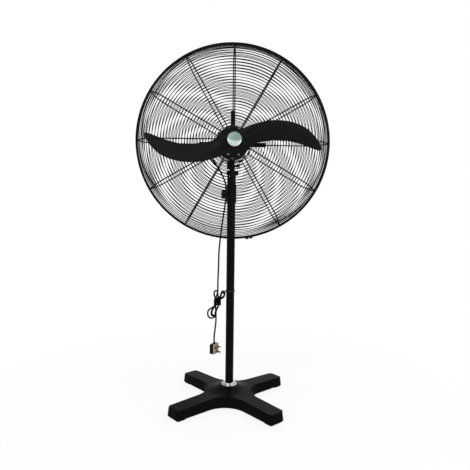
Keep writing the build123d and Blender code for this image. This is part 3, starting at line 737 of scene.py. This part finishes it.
def makeBlade():
    work = bmesh.new()
    rows = smoothRows(blade["rows"], blade["between"])
    for turn in (0, math.pi):
        spin = headPlace(0, 0, 0) @ Matrix.Rotation(turn, 4, "Y")
        rings = [[work.verts.new(spin @ (p / 1000)) for p in bladeRing(row)] for row in rows]
        count = len(rings[0])
        for near, far in zip(rings, rings[1:]):
            for i in range(count):
                work.faces.new((near[i], near[(i + 1) % count], far[(i + 1) % count], far[i]))
        work.faces.new(rings[0])
        work.faces.new(rings[-1])
    bmesh.ops.recalc_face_normals(work, faces=work.faces)
    sheet = keepMesh("fanBlade", work, "bladeSpray", blade["crease"])
    disc = lathe(blade["disc"], headPlace(0, blade["plane"], 0, towardsBack))
    disc = keepMesh("bladeDisc", disc, "bladeSpray")
    settle(joinPieces([sheet, disc]), "rotor", "blade_paint", "fan_blade")
    spots = [(x, blade["discFace"], z) for x in blade["boltX"] for z in blade["boltZ"]]
    bolts = spread("hubBolts", lathe(blade["bolt"], towardsFront, screwSteps), spots, "zinc")
    settle(bolts, "rotor", "bright_steel")


makeBlade()
print("blade made")

# cooling fins over the top and sides of the motor, clear of the swivel below it
fins = {"count": 36, "first": math.radians(-42), "span": math.radians(264), "radius": 0.0682,
        "size": (0.0018, 0.056, 0.0042), "depth": -0.001}


def finTree():
    # thin plates that stand out round the motor
    tree, inputs = newTree("motorFins", Count="Int", First="Float", Step="Float", Radius="Float",
                           Size="Vector", Centre="Vector", Material="Material")
    fin = nodeOut(tree, "GeometryNodeMeshCube", {"Size": inputs["Size"]})
    spots = nodeOut(tree, "GeometryNodeMeshLine", {"Count": inputs["Count"], "Offset": (0, 0, 0)})
    number = nodeOut(tree, "GeometryNodeInputIndex")
    turn = mathOut(tree, "MULTIPLY_ADD", number, inputs["Step"], inputs["First"])
    across, up = mathOut(tree, "COSINE", turn), mathOut(tree, "SINE", turn)
    ray = nodeOut(tree, "ShaderNodeCombineXYZ", {"X": across, "Z": up})
    reach = nodeOut(tree, "ShaderNodeVectorMath", {0: ray, 1: inputs["Radius"]}, operation="MULTIPLY")
    placed = nodeOut(tree, "GeometryNodeSetPosition", {"Geometry": spots, "Position": reach})
    lean = mathOut(tree, "SUBTRACT", math.pi / 2, turn)
    spin = nodeOut(tree, "ShaderNodeCombineXYZ", {"Y": lean})
    laid = copiesAt(tree, placed, fin, Rotation=spin)
    raised = nodeOut(tree, "GeometryNodeTransform", {"Geometry": laid, "Translation": inputs["Centre"]})
    return closeTree(tree, raised, inputs["Material"], False)


def makeFins():
    made = growPiece("motorFins", finTree(), [(0, 0, 0)], [], {
        "Count": fins["count"], "First": fins["first"], "Step": fins["span"] / (fins["count"] - 1),
        "Radius": fins["radius"], "Size": fins["size"], "Centre": (0, fins["depth"], headHeight),
        "Material": materials["motorCoat"]})
    settle(made, "head", "motor_paint")


makeFins()
print("fins made")

# back of the gear case: louvres, cover screws and the speed dial, in mm from the fan's axis
# the dial's numbers have their size and half their thickness in m
back = {
    "face": 109.0, "louvre": (30, 1.6, 2.4), "louvreX": 22, "louvreZ": range(-26, -5, 5), "louvreSoft": 0.7,
    "screws": [(-27, -38), (37, -38), (37, 35), (-27, 35)],
    "head": [(0, 0), (3.6, 0), (3.6, 0.8), (2.8, 1.6), (0, 1.9)],
    # a dark bar on each cover screw's head where its slot would be: painted shade, with no slot cut
    "slot": [((0, 1.75, 0), (4.6, 0.5, 0.7))], "slotShadeSoft": 0.1,
    "pointer": [((-18, 127.0, 8), (1.3, 0.5, 8))], "pointerSoft": 0.2,
    "dial": (-18, 0), "digits": 4, "digitReach": 19.5, "step": math.radians(45), "digitSize": 0.0062,
    "digitRaise": 0.0002,
}


def makeDigits():
    # the dial's speed numbers, raised off the cover
    made = []
    for number in range(back["digits"]):
        data = bpy.data.curves.new(f"digit{number}", "FONT")
        data.body, data.size, data.extrude = str(number), back["digitSize"], back["digitRaise"]
        data.align_x, data.align_y = "CENTER", "CENTER"
        text = link(bpy.data.objects.new(f"digit{number}", data))
        mesh = bake(text)
        bpy.data.objects.remove(text)
        angle = number * back["step"]
        spot = headPlace(back["dial"][0] + back["digitReach"] * math.sin(angle), back["face"],
                         back["dial"][1] + back["digitReach"] * math.cos(angle))
        mesh.transform(spot @ towardsBack @ Matrix.Rotation(math.pi, 4, "Z"))
        made.append(link(bpy.data.objects.new(f"dialDigit{number}", mesh)))
        wear(made[-1], "marking")
    settle(joinPieces(made), "head", "badge_silver")


def makeBack():
    slats = [(back["louvreX"], back["face"], z) for z in back["louvreZ"]]
    louvre = boxes([((0, 0, 0), back["louvre"])], still, back["louvreSoft"])
    settle(spread("coverLouvres", louvre, slats, "motorCoat"), "head", "motor_paint")
    corners = [(x, back["face"], z) for x, z in back["screws"]]
    screw = lathe(back["head"], towardsBack, screwSteps)
    settle(spread("coverScrews", screw, corners, "zinc"), "head", "bright_steel")
    # dark bars laid on the screw heads, painted shade in place of their slots
    slot = boxes(back["slot"], still, back["slotShadeSoft"])
    settle(spread("coverScrewSlots", slot, corners, "motorCoat"), "head", "motor_paint")
    pointer = boxes(back["pointer"], headPlace(0, 0, 0), back["pointerSoft"])
    settle(keepMesh("speedPointer", pointer, "marking"), "speed", "knob_plastic")
    makeDigits()


makeBack()
print("back of the gear case made")

# guard wire: a rib line with one rounded knee; rings sit beside it, ribs follow it
# first and last keep the rings clear of the line's ends
# a heavy ring has a radius, a depth and a wire radius
guards = {
    "front": {
        "line": [(0.027, -0.260), (0.352, -0.246), (0.3995, -0.172)], "knee": 0.062, "side": 1.0,
        "first": 0.017, "last": 0.012, "rings": 33,
        "heavy": [(0.3975, -0.1745, 0.0025), (0.0293, -0.2554, 0.002)]},
    "rear": {
        "line": [(0.074, -0.0805), (0.358, -0.084), (0.3995, -0.162)], "knee": 0.052, "side": -1.0,
        "first": 0.009, "last": 0.019, "rings": 30,
        "heavy": [(0.3996, -0.1612, 0.0022), (0.0765, -0.0749, 0.003)]},
}
wire = {
    "ringRadius": 0.0015, "ringSides": 8, "ringSteps": 128, "ribs": 12, "ribRadius": 0.0025, "ribSides": 10,
    "kneeSteps": 12, "offset": 0.0041, "stub": 0.001,
}


def ringTree():
    # rings about the fan's axis, one beside each point of the rib line
    tree, inputs = newTree("guardRings", Knee="Float", First="Float", Last="Float", Rings="Int",
                           Side="Float", Wire="Float", Height="Float", Material="Material")
    line = roundedLine(tree, inputs["Geometry"], inputs["Knee"], wire["kneeSteps"])
    full = nodeOut(tree, "GeometryNodeCurveLength", {"Curve": line})
    last = mathOut(tree, "SUBTRACT", full, inputs["Last"])
    # sockets 4 and 5 are the lengths at which the cut starts and ends
    ends = {"Curve": line, 4: inputs["First"], 5: last}
    cut = nodeOut(tree, "GeometryNodeTrimCurve", ends, mode="LENGTH")
    spots = nodeOut(tree, "GeometryNodeResampleCurve", {"Curve": cut, "Count": inputs["Rings"]},
                    mode="COUNT")
    position = nodeOut(tree, "GeometryNodeInputPosition")
    tangent = nodeOut(tree, "GeometryNodeInputTangent")
    place = addNode(tree, "ShaderNodeSeparateXYZ", {0: position}).outputs
    along = addNode(tree, "ShaderNodeSeparateXYZ", {0: tangent}).outputs
    shift = mathOut(tree, "MULTIPLY", along["X"], inputs["Side"])
    kept = addNode(tree, "GeometryNodeCaptureAttribute", {"Geometry": spots})
    kept.capture_items.new("FLOAT", "radius")
    kept.capture_items.new("FLOAT", "depth")
    tree.links.new(mathOut(tree, "MULTIPLY_ADD", along["Y"], inputs["Side"], place["X"]), kept.inputs[1])
    tree.links.new(mathOut(tree, "SUBTRACT", place["Y"], shift), kept.inputs[2])
    points, radius, depth = kept.outputs[:3]
    centre = nodeOut(tree, "ShaderNodeCombineXYZ", {"Y": depth, "Z": inputs["Height"]})
    onAxis = nodeOut(tree, "GeometryNodeSetPosition", {"Geometry": points, "Position": centre})
    circle = nodeOut(tree, "GeometryNodeCurvePrimitiveCircle",
                     {"Resolution": wire["ringSteps"], "Radius": 1.0})
    size = nodeOut(tree, "ShaderNodeCombineXYZ", {"X": radius, "Y": radius, "Z": radius})
    rings = copiesAt(tree, onAxis, circle, Rotation=(math.pi / 2, 0, 0), Scale=size)
    lines = nodeOut(tree, "GeometryNodeRealizeInstances", {"Geometry": rings})
    even = nodeOut(tree, "GeometryNodeSetCurveRadius", {"Curve": lines, "Radius": 1.0})
    return closeTree(tree, roundWire(tree, even, wire["ringSides"], inputs["Wire"]), inputs["Material"])


def ribTree():
    # the rib line as a wire, turned about the fan's axis
    tree, inputs = newTree("guardRibs", Knee="Float", Ribs="Int", Wire="Float", Height="Float",
                           Material="Material")
    line = roundedLine(tree, inputs["Geometry"], inputs["Knee"], wire["kneeSteps"])
    rib = roundWire(tree, line, wire["ribSides"], inputs["Wire"], True)
    spots = nodeOut(tree, "GeometryNodeMeshLine", {"Count": inputs["Ribs"], "Offset": (0, 0, 0)})
    step = mathOut(tree, "DIVIDE", 2 * math.pi, inputs["Ribs"])
    turn = mathOut(tree, "MULTIPLY", nodeOut(tree, "GeometryNodeInputIndex"), step)
    spin = nodeOut(tree, "ShaderNodeCombineXYZ", {"Y": turn})
    ribs = copiesAt(tree, spots, rib, Rotation=spin)
    lift = nodeOut(tree, "ShaderNodeCombineXYZ", {"Z": inputs["Height"]})
    raised = nodeOut(tree, "GeometryNodeTransform", {"Geometry": ribs, "Translation": lift})
    return closeTree(tree, raised, inputs["Material"])


def makeGuards():
    rings, ribs = ringTree(), ribTree()
    for key, guard in guards.items():
        points = [(x, y, 0) for x, y in guard["line"]]
        shared = {"Knee": guard["knee"], "Height": headHeight, "Material": materials["wireCoat"]}
        made = growPiece(key + "GuardRings", rings, points, [(0, 1), (1, 2)], {
            **shared, "First": guard["first"], "Last": guard["last"], "Rings": guard["rings"],
            "Side": guard["side"] * wire["offset"], "Wire": wire["ringRadius"]})
        every = [made]
        for number, (radius, depth, thick) in enumerate(guard["heavy"]):
            # a short line with one ring at its middle
            ends = [(radius + aside, depth, 0) for aside in (-wire["stub"], wire["stub"])]
            every.append(growPiece(f"{key}HeavyRing{number}", rings, ends, [(0, 1)],
                                   {**shared, "Rings": 1, "First": wire["stub"], "Wire": thick}))
        settle(joinPieces(every), "head", "guard_paint", f"{key}_guard_rings")
        made = growPiece(key + "GuardRibs", ribs, points, [(0, 1), (1, 2)],
                         {**shared, "Ribs": wire["ribs"], "Wire": wire["ribRadius"]})
        settle(made, "head", "guard_paint", f"{key}_guard_ribs")


makeGuards()
print("guards made")

# white world, floor that fades to white, and lamps with a place, a size and a power
studio = {
    "worldLight": 0.55, "floorSize": 30.0, "floorTone": 0.9, "nearShare": 0.85, "fade": (0.3, 1.6),
    "aim": (0, 0, 0.9),
    "lamps": {"key": ((-1.6, -2.6, 2.9), 1.6, 60), "fill": ((2.2, -1.8, 1.6), 1.4, 25),
              "back": ((0.6, 2.6, 2.4), 1.8, 25)},
}
white = (1, 1, 1, 1)


def whiteToCamera(tree):
    # 1 for rays that are seen straight, in a mirror or through glass
    path = addNode(tree, "ShaderNodeLightPath").outputs
    seen = mathOut(tree, "MAXIMUM", path["Is Camera Ray"], path["Is Glossy Ray"])
    return mathOut(tree, "MAXIMUM", seen, path["Is Transmission Ray"])


def makeWorld():
    world = bpy.data.worlds.new("studio")
    scene.world = world
    tree = bareTree(world)
    shown = nodeOut(tree, "ShaderNodeBackground", {"Color": white, "Strength": 1.0})
    lit = nodeOut(tree, "ShaderNodeBackground", {"Color": white, "Strength": studio["worldLight"]})
    mixed = nodeOut(tree, "ShaderNodeMixShader", {0: whiteToCamera(tree), 1: lit, 2: shown})
    addNode(tree, "ShaderNodeOutputWorld", {"Surface": mixed})


def makeFloor():
    half, tone, (near, far) = studio["floorSize"] / 2, studio["floorTone"], studio["fade"]
    corners = [(-half, -half, 0), (half, -half, 0), (half, half, 0), (-half, half, 0)]
    mesh = bpy.data.meshes.new("floor")
    mesh.from_pydata(corners, [], [(0, 1, 2, 3)])
    floor = link(bpy.data.objects.new("floor", mesh))
    material = bpy.data.materials.new("paleFloor")
    tree = bareTree(material)
    matt = nodeOut(tree, "ShaderNodeBsdfDiffuse", {"Color": (tone, tone, tone, 1)})
    glow = nodeOut(tree, "ShaderNodeEmission", {"Color": white, "Strength": 1.0})
    place = addNode(tree, "ShaderNodeTexCoord").outputs["Object"]
    away = addNode(tree, "ShaderNodeVectorMath", {0: place}, operation="LENGTH").outputs["Value"]
    ramp = {"Value": away, "From Min": near, "From Max": far, "To Min": studio["nearShare"], "To Max": 1.0}
    fade = nodeOut(tree, "ShaderNodeMapRange", ramp, interpolation_type="SMOOTHSTEP")
    share = mathOut(tree, "MULTIPLY", whiteToCamera(tree), fade)
    mixed = nodeOut(tree, "ShaderNodeMixShader", {0: share, 1: matt, 2: glow})
    addNode(tree, "ShaderNodeOutputMaterial", {"Surface": mixed})
    mesh.materials.append(material)


def makeLamps():
    for name, (place, size, power) in studio["lamps"].items():
        data = bpy.data.lights.new(name, "AREA")
        data.size, data.energy = size, power
        lamp = link(bpy.data.objects.new(name, data))
        lamp.location = place
        lamp.rotation_euler = (Vector(studio["aim"]) - Vector(place)).to_track_quat("-Z", "Y").to_euler()


makeWorld()
makeFloor()
makeLamps()
scene.view_settings.view_transform = "Standard"
print("studio set")
